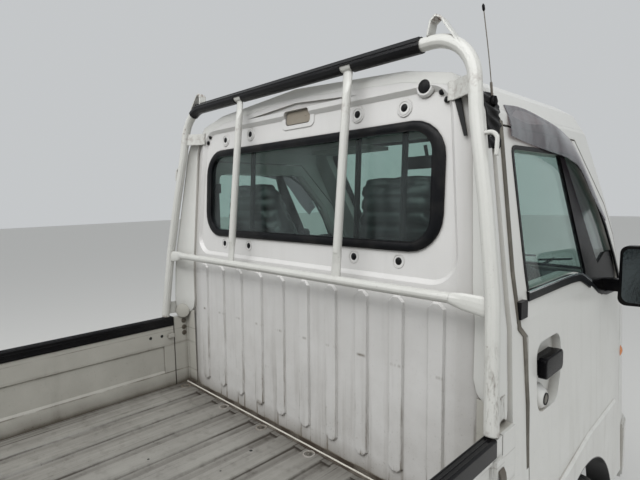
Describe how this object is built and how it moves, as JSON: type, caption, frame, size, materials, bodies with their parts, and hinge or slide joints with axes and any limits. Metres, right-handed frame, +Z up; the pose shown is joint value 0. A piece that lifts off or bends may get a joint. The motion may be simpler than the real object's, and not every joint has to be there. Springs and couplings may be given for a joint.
{
  "type": "kei truck",
  "caption": "Small cab-over flatbed truck with drop sides, a bent tube guard frame behind its cab, hinged doors and steered front wheels.",
  "frame": {"origin": "on the ground under the middle of the truck", "axes": "+Z up, the truck's front towards -Y, its left towards +X"},
  "size_m": [1.7666, 3.395, 1.921],
  "materials": {
    "painted_body": "worn white body paint with dust",
    "frame_paint": "dull black chassis paint with road dirt",
    "guard_paint": "white paint with rust at the clamps",
    "black_plastic": "grained black plastic",
    "interior_plastic": "dark grey cabin plastic",
    "lamp_lens": "clear lamp cover",
    "red_lens": "red and amber lamp cover",
    "glass": "clear window glass",
    "rubber": "black window and edge rubber",
    "tyre": "worn tyre rubber",
    "steel_rim": "silver painted steel",
    "raw_iron": "dull cast iron and steel",
    "seat_fabric": "dark seat cover"
  },
  "bodies": {
    "chassis": {"ladder_frame": "frame_paint", "cross_members": "frame_paint", "cab_floor": "painted_body", "cab_back_panel": "painted_body", "roof_panel": "painted_body", "left_body_side": "painted_body", "right_body_side": "painted_body", "front_panel": "painted_body", "cab_glass": "glass", "window_rubbers": "rubber", "dashboard": "interior_plastic", "seats": "seat_fabric", "bed_floor": "painted_body", "bed_subframe": "painted_body", "bed_beams": "frame_paint", "bed_posts": "painted_body", "guard_frame": "guard_paint", "guard_cover": "rubber", "front_bumper": "painted_body", "headlamps": "lamp_lens", "tail_lamps": "red_lens", "mud_flaps": "rubber", "fuel_tank": "frame_paint", "exhaust": "raw_iron", "engine": "raw_iron", "propeller_shaft": "frame_paint", "rear_axle": "frame_paint", "rear_springs": "raw_iron", "front_suspension": "frame_paint", "aerial": "black_plastic"},
    "left_door_body": {"left_door": "painted_body", "left_door_glass": "glass", "left_door_fittings": "black_plastic"},
    "left_gate_body": {"left_gate": "painted_body", "left_gate_trim": "rubber"},
    "left_steering": {"left_knuckle": "raw_iron"},
    "right_door_body": {"right_door": "painted_body", "right_door_glass": "glass", "right_door_fittings": "black_plastic"},
    "right_gate_body": {"right_gate": "painted_body", "right_gate_trim": "rubber"},
    "right_steering": {"right_knuckle": "raw_iron"},
    "rear_gate_body": {"rear_gate": "painted_body"},
    "steering_wheel_body": {"steering_wheel": "interior_plastic"},
    "front_left_wheel": {"front_left_rim": "steel_rim", "front_left_tyre": "tyre"},
    "front_right_wheel": {"front_right_rim": "steel_rim", "front_right_tyre": "tyre"},
    "rear_left_wheel": {"rear_left_rim": "steel_rim", "rear_left_tyre": "tyre"},
    "rear_right_wheel": {"rear_right_rim": "steel_rim", "rear_right_tyre": "tyre"}
  },
  "joints": [
    {"name": "left_door_hinge", "type": "hinge", "parent": "chassis", "child": "left_door_body", "pos_m": [0.72, -1.29, 0.9], "axis": [0, 0, -1], "range_deg": [0, 65]},
    {"name": "left_gate_hinge", "type": "hinge", "parent": "chassis", "child": "left_gate_body", "pos_m": [0.7315, 0.7, 0.616], "axis": [0, 1, 0], "range_deg": [0, 178]},
    {"name": "left_steer", "type": "hinge", "parent": "chassis", "child": "left_steering", "pos_m": [0.552, -0.82, 0.271], "axis": [0, 0, 1], "range_deg": [-35, 35]},
    {"name": "front_left_spin", "type": "hinge", "parent": "left_steering", "child": "front_left_wheel", "pos_m": [0.652, -0.82, 0.271], "axis": [1, 0, 0], "continuous": true},
    {"name": "rear_left_spin", "type": "hinge", "parent": "chassis", "child": "rear_left_wheel", "pos_m": [0.652, 1.085, 0.271], "axis": [1, 0, 0], "continuous": true},
    {"name": "right_door_hinge", "type": "hinge", "parent": "chassis", "child": "right_door_body", "pos_m": [-0.72, -1.29, 0.9], "axis": [0, 0, 1], "range_deg": [0, 65]},
    {"name": "right_gate_hinge", "type": "hinge", "parent": "chassis", "child": "right_gate_body", "pos_m": [-0.7315, 0.7, 0.616], "axis": [0, -1, 0], "range_deg": [0, 178]},
    {"name": "right_steer", "type": "hinge", "parent": "chassis", "child": "right_steering", "pos_m": [-0.552, -0.82, 0.271], "axis": [0, 0, 1], "range_deg": [-35, 35]},
    {"name": "front_right_spin", "type": "hinge", "parent": "right_steering", "child": "front_right_wheel", "pos_m": [-0.652, -0.82, 0.271], "axis": [1, 0, 0], "continuous": true},
    {"name": "rear_right_spin", "type": "hinge", "parent": "chassis", "child": "rear_right_wheel", "pos_m": [-0.652, 1.085, 0.271], "axis": [1, 0, 0], "continuous": true},
    {"name": "rear_gate_hinge", "type": "hinge", "parent": "chassis", "child": "rear_gate_body", "pos_m": [0, 1.6915, 0.616], "axis": [-1, 0, 0], "range_deg": [0, 178]},
    {"name": "steering_wheel_turn", "type": "hinge", "parent": "chassis", "child": "steering_wheel_body", "pos_m": [-0.345, -1.045, 1.02], "axis": [0, 0.766, 0.6428], "range_deg": [-560, 560]}
  ],
  "couplings": [
    {"joint": "left_steer", "follows": "right_steer", "ratio": 1},
    {"joint": "steering_wheel_turn", "follows": "right_steer", "ratio": 16}
  ]
}
